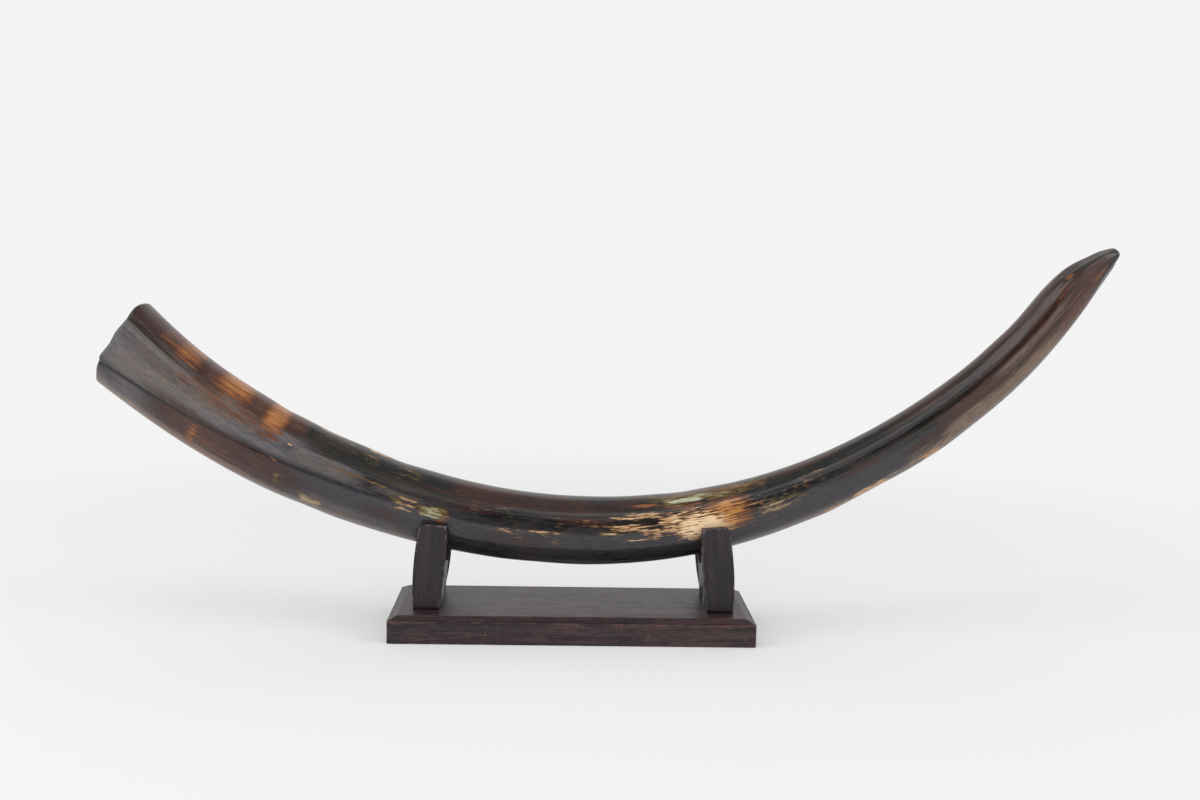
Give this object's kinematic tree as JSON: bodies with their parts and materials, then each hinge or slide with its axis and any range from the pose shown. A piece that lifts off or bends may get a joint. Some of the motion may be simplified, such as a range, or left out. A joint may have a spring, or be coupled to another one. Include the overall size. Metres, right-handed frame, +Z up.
{
  "type": "mammoth tusk on a stand",
  "caption": "Long, gently curved mammoth tusk with a lobed root and a worn point, resting in notched uprights on a bevelled wooden base board.",
  "frame": {"origin": "middle of the base board's underside", "axes": "+X along the base board towards the tusk's tip, +Z up, -Y to the front"},
  "size_m": [1.058, 0.152, 0.4053],
  "materials": {
    "fossil_ivory": "polished near-black fossil ivory with brown, orange, cream and pale green patches",
    "dark_wood": "dark stained hardwood with a satin finish and reddish worn edges"
  },
  "bodies": {
    "root": {"tusk": "fossil_ivory", "base_board": "dark_wood", "upright_left": "dark_wood", "upright_right": "dark_wood"}
  },
  "joints": []
}
